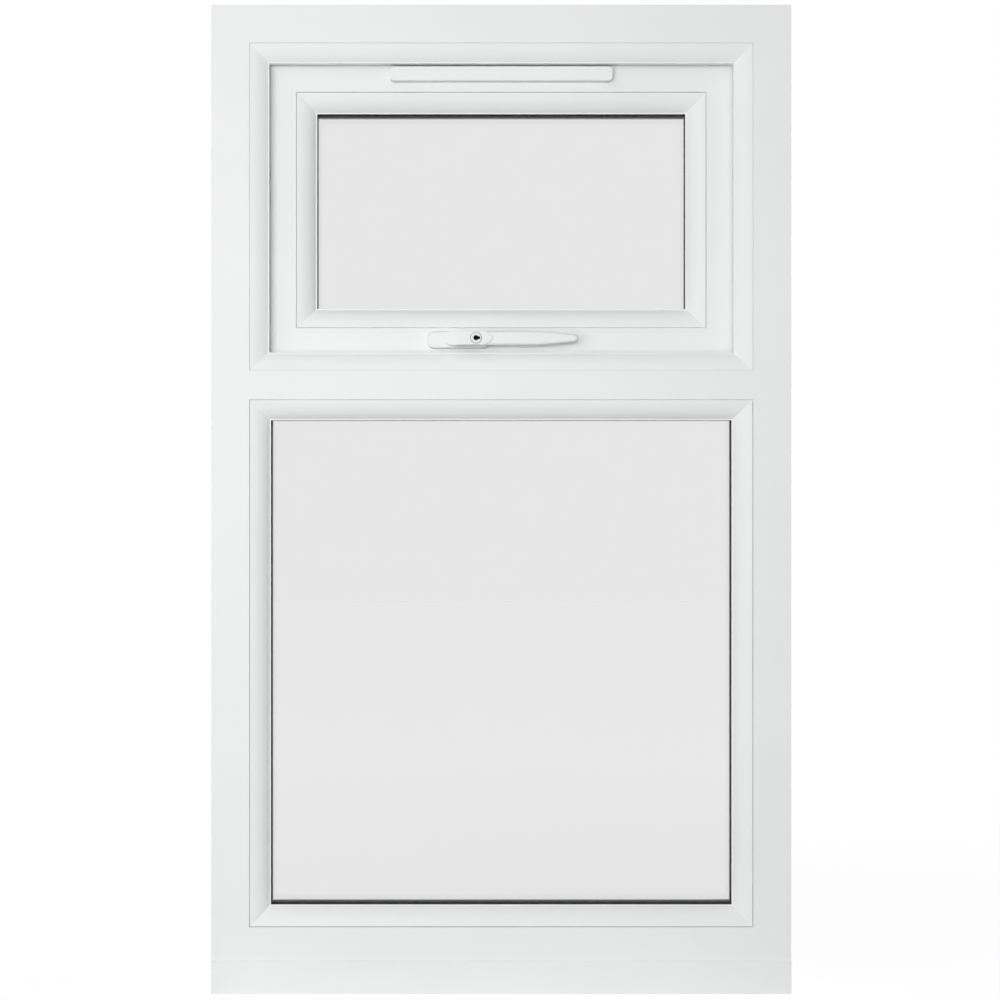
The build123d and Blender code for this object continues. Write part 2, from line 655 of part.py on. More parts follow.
def stay_arm(start, end, x_low, play):
    """A flat arm with round ends and a bore at each pivot, the second one with its own play."""
    run = end[0] - start[0]
    rise = end[1] - start[1]
    length = sqrt(run * run + rise * rise)
    plan = SlotCenterToCenter(length, STAY_ARM_WIDTH)
    plan -= Pos(-length / 2, 0) * Circle(STAY_PIN / 2 + STAY_PIN_FIT)
    plan -= Pos(length / 2, 0) * Circle(STAY_PIN / 2 + play)
    lean = degrees(acos(run / length))
    middle = Pos((start[0] + end[0]) / 2, (start[1] + end[1]) / 2)
    return along_x(middle * Rot(0, 0, lean) * plan, x_low, x_low + STAY_ARM_THICKNESS)


def make_stay(side, sign):
    """One friction stay in the gap between sash and jamb: track, two arms and the bar on the sash."""
    short_frame, short_sash, long_frame, long_sash = stay_pivots()
    bar_face = SASH_HALF + STAY_BAR_THICKNESS
    long_low = bar_face + STAY_SIDE_PLAY
    long_high = long_low + STAY_ARM_THICKNESS
    short_low = long_high + STAY_SIDE_PLAY
    short_high = short_low + STAY_ARM_THICKNESS
    track_low = LIGHT_HALF - STAY_TRACK_THICKNESS
    middle_y = GROOVE_Y
    bar_z = (SASH_TOP - STAY_FROM_TOP + STAY_END - STAY_BAR_LENGTH, SASH_TOP - STAY_FROM_TOP + STAY_END)
    bar = block((SASH_HALF, bar_face), (middle_y - STAY_BAR_WIDTH / 2, middle_y + STAY_BAR_WIDTH / 2), bar_z)
    bar += rod_x(short_sash[0], short_sash[1], STAY_ARM_WIDTH, SASH_HALF, long_high)
    bar += rod_x(short_sash[0], short_sash[1], STAY_PIN, SASH_HALF, short_high)
    bar += rod_x(long_sash[0], long_sash[1], STAY_PIN, SASH_HALF, long_high)
    track_z = (long_frame[1] - 2 * STAY_END, SASH_TOP)
    half = STAY_TRACK_WIDTH / 2
    track = block((track_low, LIGHT_HALF), (middle_y - half, middle_y + half), track_z)
    track += rod_x(short_frame[0], short_frame[1], STAY_ARM_WIDTH, short_high + STAY_SIDE_PLAY, LIGHT_HALF)
    track += rod_x(short_frame[0], short_frame[1], STAY_PIN, short_low, LIGHT_HALF)
    track += rod_x(long_frame[0], long_frame[1], STAY_ARM_WIDTH, short_low, LIGHT_HALF)
    track += rod_x(long_frame[0], long_frame[1], STAY_PIN, long_low, LIGHT_HALF)
    for low, high in ((-half, STAY_TRACK_LIP - half), (half - STAY_TRACK_LIP, half)):
        track += block((track_low - STAY_TRACK_LIP, LIGHT_HALF), (middle_y + low, middle_y + high), track_z)
    pieces = {
        "sash_bar": bar,
        "track": track,
        "short_arm": stay_arm(short_frame, short_sash, short_low, STAY_PIN_FIT),
        "long_arm": stay_arm(long_frame, long_sash, long_low, STAY_FREE_PIN_PLAY),
    }
    for screw_z in (bar_z[0] + STAY_BAR_WIDTH / 2, bar_z[0] + 3 * STAY_BAR_WIDTH):
        pieces["sash_bar"] -= rod_x(middle_y, screw_z, STAY_SCREW, 0, WINDOW_WIDTH)
    for screw_z in (track_z[0] + STAY_TRACK_WIDTH * 2, track_z[1] - STAY_END):
        pieces["track"] -= rod_x(middle_y, screw_z, STAY_SCREW, 0, WINDOW_WIDTH)
    for name, piece in pieces.items():
        placed = piece if sign > 0 else mirror(piece, about=Plane.YZ)
        save(placed, f"stay_{name}_{side}")


def lever_outline():
    """The lever seen from the room: a round tail, parallel sides, then a taper to a blunt round tip."""
    half = LEVER_WIDTH / 2
    tip = LEVER_TIP_WIDTH / 2
    taper = LEVER_LENGTH * LEVER_TAPER_START_SHARE
    end = LEVER_LENGTH - tip
    swell = ((taper + end) / 2, half * (1 - (1 - tip / half) / 3))
    return outline(
        (half - LEVER_TAIL, half),
        (taper, half),
        (swell, (end, tip)),
        ((LEVER_LENGTH, 0), (end, -tip)),
        ((swell[0], -swell[1]), (taper, -half)),
        (half - LEVER_TAIL, -half),
        ((-LEVER_TAIL, 0), (half - LEVER_TAIL, half)),
    )


def cap_outline():
    """The raised cap on the lever: a round tail and a pointed nose over the grip."""
    half = LEVER_WIDTH / 2
    front = CAP_LENGTH - LEVER_TAIL
    shoulder = front * CAP_NOSE_SHARE
    return outline(
        (half - LEVER_TAIL, half),
        (shoulder, half),
        (((shoulder + front) / 2, half * CAP_NOSE_SHARE), (front, 0)),
        (((shoulder + front) / 2, -half * CAP_NOSE_SHARE), (shoulder, -half)),
        (half - LEVER_TAIL, -half),
        ((-LEVER_TAIL, 0), (half - LEVER_TAIL, half)),
    )


def make_handle():
    """Base plate, lever with its lock barrel, and the square spindle that turns the gearbox."""
    base_y = SASH_Y - HANDLE_BASE_THICKNESS
    back_y = SASH_Y - LEVER_STAND_OFF
    front_y = back_y - LEVER_THICKNESS
    place = Plane((HANDLE_AXIS_X, SASH_Y, HANDLE_Z), x_dir=(1, 0, 0), z_dir=(0, -1, 0)).location
    base_plan = RectangleRounded(HANDLE_BASE_LENGTH, HANDLE_BASE_WIDTH, HANDLE_BASE_CORNER)
    plate = extrude(base_plan, HANDLE_BASE_THICKNESS)
    plate = fillet(plate.faces().sort_by(Axis.Z)[-1].edges(), HANDLE_BASE_ROUND)
    plate = place * plate - rod_y(HANDLE_AXIS_X, HANDLE_Z, SPINDLE_HOLE, base_y - OVERRUN, SASH_Y + OVERRUN)
    save(plate, "handle_base")
    grip = extrude(lever_outline(), LEVER_THICKNESS - CAP_RISE)
    grip = fillet(grip.faces().sort_by(Axis.Z)[-1].edges(), LEVER_ROUND)
    grip = fillet(grip.faces().sort_by(Axis.Z)[0].edges(), LEVER_ROUND)
    cap = extrude(cap_outline(), LEVER_THICKNESS)
    cap = fillet(cap.faces().sort_by(Axis.Z)[-1].edges(), CAP_ROUND)
    tail_fall = make_face(Polyline(
        (-LEVER_TAIL, LEVER_THICKNESS - LEVER_TAIL_FALL),
        (LEVER_TAIL_RUN - LEVER_TAIL, LEVER_THICKNESS),
        (LEVER_TAIL_RUN - LEVER_TAIL, LEVER_THICKNESS + LEVER_TAIL_FALL),
        (-LEVER_TAIL, LEVER_THICKNESS + LEVER_TAIL_FALL),
        close=True,
    ))
    wedge = extrude(Plane.XZ * tail_fall, LEVER_WIDTH, both=True)
    lever = place * (Pos(0, 0, LEVER_STAND_OFF) * (grip + cap - wedge))
    lever += rod_y(HANDLE_AXIS_X, HANDLE_Z, HANDLE_NECK, back_y, base_y - HANDLE_GAP)
    lock_x = HANDLE_AXIS_X + LOCK_FROM_AXIS
    lever -= rod_y(lock_x, HANDLE_Z, LOCK_BORE, front_y - OVERRUN, front_y + LOCK_DEPTH)
    half = SPINDLE / 2
    hole = half + SPINDLE_FIT
    square = ((HANDLE_AXIS_X - hole, HANDLE_AXIS_X + hole), (HANDLE_Z - hole, HANDLE_Z + hole))
    lever -= block(square[0], (back_y, SASH_Y), square[1])
    save(lever, "handle_lever")
    spindle_y = (back_y, GROOVE_Y + GEAR_WIDTH / 2)
    spindle_x = (HANDLE_AXIS_X - half, HANDLE_AXIS_X + half)
    save(block(spindle_x, spindle_y, (HANDLE_Z - half, HANDLE_Z + half)), "handle_spindle")
    barrel_front = front_y - LOCK_PROUD
    barrel = rod_y(lock_x, HANDLE_Z, LOCK_BORE - 2 * LOCK_FIT, barrel_front, front_y + LOCK_DEPTH)
    before = barrel_front - OVERRUN
    key_y = (before, barrel_front + KEYWAY_DEPTH)
    barrel -= rod_y(lock_x, HANDLE_Z, LOCK_BORE - 2 * LOCK_RIM, before, barrel_front + LOCK_DISH)
    barrel -= rod_y(lock_x, HANDLE_Z, KEYWAY_ROUND, *key_y)
    slot_z = (HANDLE_Z - KEYWAY_SLOT / 2, HANDLE_Z + KEYWAY_SLOT / 2)
    barrel -= block((lock_x, lock_x + KEYWAY_REACH), key_y, slot_z)
    save(barrel, "lock_barrel")


def gear_outline():
    """A spur gear with involute flanks, drawn with a tooth space pointing down."""
    pitch_radius = GEAR_MODULE * GEAR_TEETH / 2
    base_radius = pitch_radius * cos(radians(GEAR_PRESSURE_ANGLE))
    tip_radius = pitch_radius + GEAR_MODULE
    root_radius = pitch_radius - GEAR_MODULE - GEAR_ROOT_CLEARANCE
    pressure = radians(GEAR_PRESSURE_ANGLE)
    half_tooth = pi / (2 * GEAR_TEETH) - GEAR_BACKLASH / (2 * pitch_radius) + tan(pressure) - pressure

    def flank(radius, turn, hand):
        roll = acos(min(base_radius / radius, 1))
        angle = turn + hand * (half_tooth - tan(roll) + roll)
        return (radius * cos(angle), radius * sin(angle))

    middle_radius = (base_radius + tip_radius) / 2
    teeth = Circle(root_radius)
    for tooth in range(GEAR_TEETH):
        turn = 2 * pi * (tooth + 1 / 2) / GEAR_TEETH - pi / 2
        low = (root_radius / 2 * cos(turn - half_tooth), root_radius / 2 * sin(turn - half_tooth))
        high = (root_radius / 2 * cos(turn + half_tooth), root_radius / 2 * sin(turn + half_tooth))
        teeth += outline(
            low,
            flank(base_radius, turn, -1),
            (flank(middle_radius, turn, -1), flank(tip_radius, turn, -1)),
            ((tip_radius * cos(turn), tip_radius * sin(turn)), flank(tip_radius, turn, 1)),
            (flank(middle_radius, turn, 1), flank(base_radius, turn, 1)),
            high,
        )
    return teeth


def rack_outline():
    """The rack under the gear, in X and Z about the gear's axis, with a tooth straight below it."""
    pitch = pi * GEAR_MODULE
    pitch_z = -GEAR_MODULE * GEAR_TEETH / 2
    lean = tan(radians(GEAR_PRESSURE_ANGLE)) * GEAR_MODULE
    half = pitch / 4 - GEAR_BACKLASH / 4
    root_z = pitch_z - GEAR_MODULE - GEAR_ROOT_CLEARANCE
    low_lean = lean * (pitch_z - root_z) / GEAR_MODULE
    first = -pitch * (RACK_TEETH - 1) / 2
    left = first - pitch / 2
    points = [(left, ROD_Z - HANDLE_Z), (left, root_z)]
    for tooth in range(RACK_TEETH):
        centre = first + tooth * pitch
        points.append((centre - half - low_lean, root_z))
        points.append((centre - half + lean, pitch_z + GEAR_MODULE))
        points.append((centre + half - lean, pitch_z + GEAR_MODULE))
        points.append((centre + half + low_lean, root_z))
    points.append((-left, root_z))
    points.append((-left, ROD_Z - HANDLE_Z))
    return make_face(Polyline(*points, close=True))


def make_espagnolette():
    """Faceplate, gearbox with pinion, toothed drive rod with two mushroom cams, and the keeps."""
    travel = pi / 2 * GEAR_MODULE * GEAR_TEETH / 2
    face_y = (GROOVE_Y - FACEPLATE_WIDTH / 2, GROOVE_Y + FACEPLATE_WIDTH / 2)
    half_plate = FACEPLATE_LENGTH / 2
    cam_place = half_plate - CAM_FROM_END
    plate = block((-half_plate, half_plate), face_y, (SASH_BOTTOM, SASH_BOTTOM + FACEPLATE_THICKNESS))
    cams = []
    keeps = []
    slot_half = CAM_STEM / 2 + CAM_SLOT_PLAY
    for cam_x in (-cam_place, cam_place):
        slot_x = (cam_x - slot_half - CAM_SLOT_SPARE, cam_x + slot_half + travel + CAM_SLOT_SPARE)
        slot_y = (GROOVE_Y - slot_half, GROOVE_Y + slot_half)
        plate -= block(slot_x, slot_y, (SASH_BOTTOM - OVERRUN, SASH_BOTTOM + OVERRUN))
        cam_z = SASH_BOTTOM - CAM_REACH
        head_high = cam_z + CAM_HEAD_THICKNESS
        cam = Pos(cam_x, GROOVE_Y, (head_high + ROD_Z) / 2) * Cylinder(CAM_STEM / 2, ROD_Z - head_high)
        cam += Pos(cam_x, GROOVE_Y, (cam_z + head_high) / 2) * Cylinder(CAM_HEAD / 2, CAM_HEAD_THICKNESS)
        cams.append(cam)
        keep_x = (cam_x - KEEP_LENGTH / 2, cam_x + KEEP_LENGTH / 2)
        keep_y = (GROOVE_Y - KEEP_WIDTH / 2, GROOVE_Y + KEEP_WIDTH / 2)
        keep = block(keep_x, keep_y, (VENT_BOTTOM, VENT_BOTTOM + KEEP_THICKNESS))
        lip_y = (keep_y[1] - KEEP_LIP_WIDTH, keep_y[1])
        lip_x = (keep_x[0], keep_x[0] + KEEP_LENGTH * KEEP_LIP_SHARE)
        keep += block(lip_x, lip_y, (VENT_BOTTOM, VENT_BOTTOM + KEEP_THICKNESS + KEEP_LIP_RISE))
        for end in (keep_x[0] + 2 * KEEP_LIP_WIDTH, keep_x[1] - 2 * KEEP_LIP_WIDTH):
            keep -= Pos(end, GROOVE_Y, VENT_BOTTOM) * Cylinder(KEEP_SCREW / 2, OVERRUN)
        keeps.append(keep)
    save(plate, "espag_faceplate")
    save(Compound(children=cams), "espag_cams")
    save(Compound(children=keeps), "espag_keeps")
    rod_x_range = (-cam_place - ROD_END, cam_place + ROD_END)
    rod_y_range = (GROOVE_Y - ROD_WIDTH / 2, GROOVE_Y + ROD_WIDTH / 2)
    rod = block(rod_x_range, rod_y_range, (ROD_Z, ROD_Z + ROD_THICKNESS))
    gear_plane = Plane((HANDLE_AXIS_X, GROOVE_Y, HANDLE_Z), x_dir=(1, 0, 0), z_dir=(0, -1, 0)).location
    rod += gear_plane * extrude(rack_outline(), GEAR_WIDTH / 2, both=True)
    save(rod, "espag_drive_rod")
    side = SPINDLE + 2 * SPINDLE_FIT
    pinion = extrude(gear_outline(), GEAR_WIDTH / 2, both=True) - Box(side, side, OVERRUN)
    save(gear_plane * pinion, "espag_pinion")
    case_x = (HANDLE_AXIS_X - GEARBOX_LENGTH / 2, HANDLE_AXIS_X + GEARBOX_LENGTH / 2)
    case_y = (GROOVE_Y - GEARBOX_WIDTH / 2, GROOVE_Y + GEARBOX_WIDTH / 2)
    case_z = (SASH_BOTTOM + FACEPLATE_THICKNESS, GEARBOX_TOP)
    case = block(case_x, case_y, case_z)
    case -= block(
        (case_x[0] - OVERRUN, case_x[1] + OVERRUN),
        (GROOVE_Y - ROD_WIDTH / 2 - ROD_PLAY, GROOVE_Y + ROD_WIDTH / 2 + ROD_PLAY),
        (case_z[0] - OVERRUN, GEARBOX_TOP - GEARBOX_WALL),
    )
    case -= rod_y(HANDLE_AXIS_X, HANDLE_Z, SPINDLE_HOLE, case_y[0] - OVERRUN, case_y[1] + OVERRUN)
    save(case, "espag_gearbox")


def make_trickle_vent():
    """Flap with a hinge barrel, slotted base plate with pivot ears, and the weather hood outside."""
    barrel_y = SASH_Y - VENT_BACK_GAP / 2 - VENT_BARREL / 2
    barrel_z = VENT_BOTTOM_Z + VENT_BARREL / 2
    place = Plane((0, SASH_Y, VENT_MIDDLE_Z), x_dir=(1, 0, 0), z_dir=(0, -1, 0)).location
    body = extrude(RectangleRounded(VENT_LENGTH, VENT_HEIGHT, VENT_CORNER), VENT_PROJECTION)
    body = fillet(body.faces().sort_by(Axis.Z)[-1].edges(), VENT_ROUND)
    inner_height = VENT_HEIGHT - 2 * VENT_WALL
    inner_round = VENT_CORNER - VENT_WALL
    inside = RectangleRounded(VENT_LENGTH - 2 * VENT_WALL, inner_height, inner_round)
    body -= extrude(inside, VENT_PROJECTION - VENT_WALL)
    flap = place * body
    behind_y = (SASH_Y - VENT_BACK_GAP, SASH_Y + OVERRUN)
    flap -= block((-WINDOW_WIDTH, WINDOW_WIDTH), behind_y, (0, WINDOW_HEIGHT))
    ear_high = VENT_LENGTH / 2 - VENT_CORNER - VENT_EAR_FROM_END
    ear_low = ear_high - VENT_EAR
    trim_y = (barrel_y, SASH_Y + OVERRUN)
    flap -= block((-WINDOW_WIDTH, WINDOW_WIDTH), trim_y, (0, barrel_z + VENT_BARREL / 2))
    barrel_end = ear_low - VENT_EAR_GAP
    flap += rod_x(barrel_y, barrel_z, VENT_BARREL, -barrel_end, barrel_end)
    plate_z = (barrel_z + VENT_BARREL, VENT_BOTTOM_Z + VENT_HEIGHT - VENT_WALL - VENT_BACK_GAP)
    plate_half = ear_high
    plate = block((-plate_half, plate_half), (SASH_Y - VENT_PLATE, SASH_Y), plate_z)
    for centre in (-VENT_SLOT_SPACING / 2, VENT_SLOT_SPACING / 2):
        span = (centre - VENT_SLOT_LENGTH / 2, centre + VENT_SLOT_LENGTH / 2)
        middle = (plate_z[0] + plate_z[1]) / 2
        half = (plate_z[1] - plate_z[0]) / 2 - VENT_PLATE_MARGIN
        plate -= block(span, (SASH_Y - OVERRUN, SASH_Y + OVERRUN), (middle - half, middle + half))
    for sign in (-1, 1):
        ear_x = sorted((sign * ear_low, sign * ear_high))
        ear_y = (barrel_y - VENT_BARREL / 2, SASH_Y)
        plate += block(ear_x, ear_y, (barrel_z - VENT_BARREL / 2, plate_z[1]))
        pin = sorted((sign * (barrel_end - VENT_PIN_LENGTH), sign * ear_high))
        plate += rod_x(barrel_y, barrel_z, VENT_PIN, *pin)
        bore = sorted((sign * (barrel_end - VENT_PIN_LENGTH - VENT_EAR_GAP), sign * (barrel_end + OVERRUN)))
        flap -= rod_x(barrel_y, barrel_z, VENT_PIN + 2 * VENT_PIN_FIT, *bore)
        notch = sorted((sign * barrel_end, sign * (ear_high + VENT_EAR_GAP)))
        flap -= block(notch, (ear_y[0] - VENT_EAR_SWING, SASH_Y + OVERRUN), (0, barrel_z + VENT_BARREL))
    save(flap, "trickle_vent_flap")
    save(plate, "trickle_vent_base")
    hood_y = SASH_OUT_Y
    hood_low = VENT_MIDDLE_Z - HOOD_HEIGHT / 2
    hood_high = VENT_MIDDLE_Z + HOOD_HEIGHT / 2
    top_y = hood_y + HOOD_PROJECTION * HOOD_TOP_SHARE
    low_y = hood_y + HOOD_PROJECTION
    corners = ((hood_y, hood_low), (low_y, hood_low), (top_y, hood_high), (hood_y, hood_high))
    shell = make_face(Polyline(*corners, close=True))
    hollow = make_face(Polyline(
        (hood_y, hood_low),
        (low_y - HOOD_WALL, hood_low),
        (top_y - HOOD_WALL, hood_high - HOOD_WALL),
        (hood_y, hood_high - HOOD_WALL),
        close=True,
    ))
    half_hood = HOOD_LENGTH / 2
    hood = along_x(shell, -half_hood, half_hood)
    hood -= along_x(hollow, HOOD_WALL - half_hood, half_hood - HOOD_WALL)
    save(hood, "trickle_vent_hood")


# Places that several sub-parts share
ROD_Z = SASH_BOTTOM + FACEPLATE_THICKNESS + ROD_PLAY
GEARBOX_TOP = SASH_BOTTOM + SASH_FACE - OUTER_WALL - GEARBOX_PLAY
VENT_BOTTOM_Z = SASH_TOP - VENT_FROM_TOP - VENT_HEIGHT
VENT_MIDDLE_Z = VENT_BOTTOM_Z + VENT_HEIGHT / 2

os.makedirs("parts", exist_ok=True)
make_frame()
make_cill()
make_glazing("fixed", FIXED_RECT, INSIDE_Y)
make_sash()
make_glazing("sash", GLASS_RECT, SASH_Y)
make_stay("left", -1)
make_stay("right", 1)
make_handle()
make_espagnolette()
make_trickle_vent()
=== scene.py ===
"""Looks of a white plastic window with a top-hung sash over a fixed light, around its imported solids."""
import math

import bpy
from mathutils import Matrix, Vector


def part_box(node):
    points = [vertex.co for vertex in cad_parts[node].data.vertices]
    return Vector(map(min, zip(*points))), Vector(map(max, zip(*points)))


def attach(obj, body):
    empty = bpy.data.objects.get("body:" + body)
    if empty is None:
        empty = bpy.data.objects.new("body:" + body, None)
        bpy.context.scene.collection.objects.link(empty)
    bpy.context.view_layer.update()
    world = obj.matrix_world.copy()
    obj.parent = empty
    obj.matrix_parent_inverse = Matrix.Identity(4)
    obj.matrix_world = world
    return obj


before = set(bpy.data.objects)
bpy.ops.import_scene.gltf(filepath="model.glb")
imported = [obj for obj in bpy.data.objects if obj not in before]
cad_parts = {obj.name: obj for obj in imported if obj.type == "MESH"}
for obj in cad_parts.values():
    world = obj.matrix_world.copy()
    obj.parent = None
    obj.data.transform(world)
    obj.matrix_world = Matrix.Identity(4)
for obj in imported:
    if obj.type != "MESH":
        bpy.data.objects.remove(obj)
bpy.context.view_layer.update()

# Studio: the window stands alone on a pale floor against white, seen straight on from the room.
# A soft lamp stands to the left, a fainter one high above it and a small one behind the camera.
# One more lights the weather side. Only the high lamp lights the floor, so the glass mirrors no patch.
CAMERA_PLACE = (-0.0013, -2.135, 0.5192)
CAMERA_LENS = 71.9
CAMERA_SENSOR = 36.0
CAMERA_REACH = 60.0
UPRIGHT = (math.pi / 2, 0.0, 0.0)
LAMPS = {
    "side_lamp": ((-0.64, -2.05, 0.64), 1.0, 18.0),
    "high_lamp": ((-1.9, -1.9, 2.4), 2.2, 15.5),
    "front_lamp": ((-0.12, -3.2, 0.72), 0.35, 32.0),
    "weather_lamp": ((2.2, 2.3, 2.3), 2.2, 115.0),
}
LAMP_AIM = (0.0, 0.0, 0.56)
LAMPS_OFF_FLOOR = ("side_lamp", "front_lamp", "weather_lamp")
SURROUND_WHITE = (1.0, 1.0, 1.0, 1.0)
SURROUND_LIGHT = 0.16
BACKDROP_LIGHT = 1.0
FLOOR_SIZE = 16.0
FLOOR_DROP = 0.0003
FLOOR_COLOUR = (0.9, 0.9, 0.9, 1.0)
FLOOR_GLOW = {"From Min": 0.5, "From Max": 1.8, "To Min": 1.41, "To Max": 1.475}
FLOOR_GLOW_SHARE = 0.65

scene = bpy.context.scene
scene.view_settings.view_transform = "Standard"
camera_data = bpy.data.cameras.new("room_camera")
camera_data.sensor_width = CAMERA_SENSOR
camera_data.lens = CAMERA_LENS
camera_data.clip_end = CAMERA_REACH
camera = bpy.data.objects.new("room_camera", camera_data)
camera.location = CAMERA_PLACE
camera.rotation_euler = UPRIGHT
scene.collection.objects.link(camera)
scene.camera = camera

for lamp_name, (lamp_place, lamp_size, lamp_power) in LAMPS.items():
    lamp_data = bpy.data.lights.new(lamp_name, "AREA")
    lamp_data.shape = "SQUARE"
    lamp_data.size = lamp_size
    lamp_data.energy = lamp_power
    lamp = bpy.data.objects.new(lamp_name, lamp_data)
    lamp.location = lamp_place
    aim = Vector(LAMP_AIM) - Vector(lamp_place)
    lamp.rotation_euler = aim.to_track_quat("-Z", "Y").to_euler()
    lamp.visible_camera = False
    lamp.visible_glossy = False
    lamp.visible_transmission = False
    scene.collection.objects.link(lamp)


def step(tree, kind, values, **settings):
    """One node with its settings, and with a value or a link in each named input."""
    made = tree.nodes.new(kind)
    for label, setting in settings.items():
        setattr(made, label, setting)
    for label, value in values.items():
        if isinstance(value, bpy.types.NodeSocket):
            tree.links.new(value, made.inputs[label])
        else:
            made.inputs[label].default_value = value
    return made


def seen_directly(tree):
    """A socket that is 1 for what the camera sees straight, in a gloss or through glass."""
    rays = step(tree, "ShaderNodeLightPath", {}).outputs
    bare = step(tree, "ShaderNodeMath", {0: rays["Is Camera Ray"], 1: rays["Is Glossy Ray"]},
                operation="MAXIMUM")
    whole = step(tree, "ShaderNodeMath", {0: bare.outputs[0], 1: rays["Is Transmission Ray"]},
                 operation="MAXIMUM")
    return whole.outputs[0]


world = bpy.data.worlds.new("white_surround")
scene.world = world
world.use_nodes = True
walls = world.node_tree
walls.nodes.clear()
around = step(walls, "ShaderNodeBackground", {"Color": SURROUND_WHITE, "Strength": SURROUND_LIGHT})
backdrop = step(walls, "ShaderNodeBackground", {"Color": SURROUND_WHITE, "Strength": BACKDROP_LIGHT})
choose = step(walls, "ShaderNodeMixShader",
              {"Fac": seen_directly(walls), 1: around.outputs[0], 2: backdrop.outputs[0]})
step(walls, "ShaderNodeOutputWorld", {"Surface": choose.outputs[0]})

floor_mesh = bpy.data.meshes.new("studio_floor")
half = FLOOR_SIZE / 2
corners = [(-half, -half), (half, -half), (half, half), (-half, half)]
floor_mesh.from_pydata([(x, y, -FLOOR_DROP) for x, y in corners], [], [(0, 1, 2, 3)])
floor = bpy.data.objects.new("studio_floor", floor_mesh)
scene.collection.objects.link(floor)
floor_paint = bpy.data.materials.new("studio_floor_paint")
floor_paint.use_nodes = True
ground = floor_paint.node_tree
ground.nodes.clear()
floor_place = step(ground, "ShaderNodeTexCoord", {}).outputs["Object"]
from_window = step(ground, "ShaderNodeVectorMath", {0: floor_place}, operation="LENGTH")
brighten = step(ground, "ShaderNodeMapRange", {"Value": from_window.outputs["Value"], **FLOOR_GLOW})
glow = step(ground, "ShaderNodeEmission", {"Strength": brighten.outputs["Result"]})
pale = step(ground, "ShaderNodeBsdfDiffuse", {"Color": FLOOR_COLOUR})
share = step(ground, "ShaderNodeMath", {0: seen_directly(ground), 1: FLOOR_GLOW_SHARE},
             operation="MULTIPLY")
blend = step(ground, "ShaderNodeMixShader",
             {"Fac": share.outputs[0], 1: pale.outputs[0], 2: glow.outputs[0]})
step(ground, "ShaderNodeOutputMaterial", {"Surface": blend.outputs[0]})
floor_mesh.materials.append(floor_paint)
unlit = bpy.data.collections.new("floor_left_unlit")
unlit.objects.link(floor)
unlit.collection_objects[0].light_linking.link_state = "EXCLUDE"
for lamp_name in LAMPS_OFF_FLOOR:
    bpy.data.objects[lamp_name].light_linking.receiver_collection = unlit


# Outer frame: hollow white plastic lengths, extruded, mitred and welded at the corners.
# The gloss carries faint die lines along each length, and the welds are cleaned off flat.
EVEN = (1.0, 1.0, 1.0)
FIELD_SPREAD = (0.3, 0.7)
BROAD_SCALE = 9.0
BROAD_DETAIL = 2.0


def noise(tree, coordinates, scale, stretch, detail):
    """Fractal noise on stretched object coordinates, in metres."""
    mapping = step(tree, "ShaderNodeMapping", {"Vector": coordinates, "Scale": stretch})
    field = step(tree, "ShaderNodeTexNoise",
                 {"Vector": mapping.outputs["Vector"], "Scale": scale, "Detail": detail})
    return field.outputs["Fac"]


def between(tree, field, low, high):
    """The field spread from low to high."""
    spread = step(tree, "ShaderNodeMapRange", {
        "Value": field, "From Min": FIELD_SPREAD[0], "From Max": FIELD_SPREAD[1],
        "To Min": low, "To Max": high})
    return spread.outputs["Result"]


def tinted(tree, field, low, high):
    """A colour that drifts from low to high with the field."""
    ramp = step(tree, "ShaderNodeValToRGB", {"Fac": field})
    for stop, position, colour in zip(ramp.color_ramp.elements, FIELD_SPREAD, (low, high)):
        stop.position = position
        stop.color = (*colour, 1.0)
    return ramp.outputs["Color"]


def raised(tree, field, height, strength):
    """Bump of the field, its height in metres."""
    bump = step(tree, "ShaderNodeBump", {"Height": field, "Distance": height, "Strength": strength})
    return bump.outputs["Normal"]


def finish(name, low, high, rough, scale, height, strength,
           stretch=EVEN, detail=2.0, metal=0.0, gloss=0.5):
    """A surface whose gloss and bump follow a fine field, and whose colour drifts with a broad one."""
    material = bpy.data.materials.new(name)
    material.use_nodes = True
    tree = material.node_tree
    shader = tree.nodes["Principled BSDF"]
    place = step(tree, "ShaderNodeTexCoord", {}).outputs["Object"]
    fine = noise(tree, place, scale, stretch, detail)
    broad = noise(tree, place, BROAD_SCALE, EVEN, BROAD_DETAIL)
    tree.links.new(tinted(tree, broad, low, high), shader.inputs["Base Color"])
    tree.links.new(between(tree, fine, *rough), shader.inputs["Roughness"])
    tree.links.new(raised(tree, fine, height, strength), shader.inputs["Normal"])
    shader.inputs["Metallic"].default_value = metal
    shader.inputs["Specular IOR Level"].default_value = gloss
    return material


def dress(material, *names):
    """Gives solids of the frame their finish."""
    for name in names:
        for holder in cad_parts[name].material_slots:
            holder.material = material


WHITE = {"low": (0.845, 0.855, 0.852), "high": (0.865, 0.872, 0.870)}
EXTRUDED = {"rough": (0.34, 0.42), "scale": 1500.0, "detail": 3.0, "height": 0.00001,
            "strength": 0.12, "gloss": 0.42}
DIE_LINE_STRETCH = 0.004
upright_white = finish("upvc_white_upright", stretch=(1.0, 1.0, DIE_LINE_STRETCH), **WHITE, **EXTRUDED)
level_white = finish("upvc_white_level", stretch=(DIE_LINE_STRETCH, 1.0, 1.0), **WHITE, **EXTRUDED)
dress(upright_white, "frame_jamb_left", "frame_jamb_right")
dress(level_white, "frame_head", "frame_bottom_rail", "transom")

# Cill: a hollow white extrusion under the frame, sloped to the weather with a drip at its nose.
# Moulded caps close its two ends.
dress(level_white, "cill")
moulded_white = finish("upvc_white_moulded", rough=(0.32, 0.42), scale=900.0, height=0.00005,
                       strength=0.2, **WHITE)
dress(moulded_white, "cill_end_cap_left", "cill_end_cap_right")

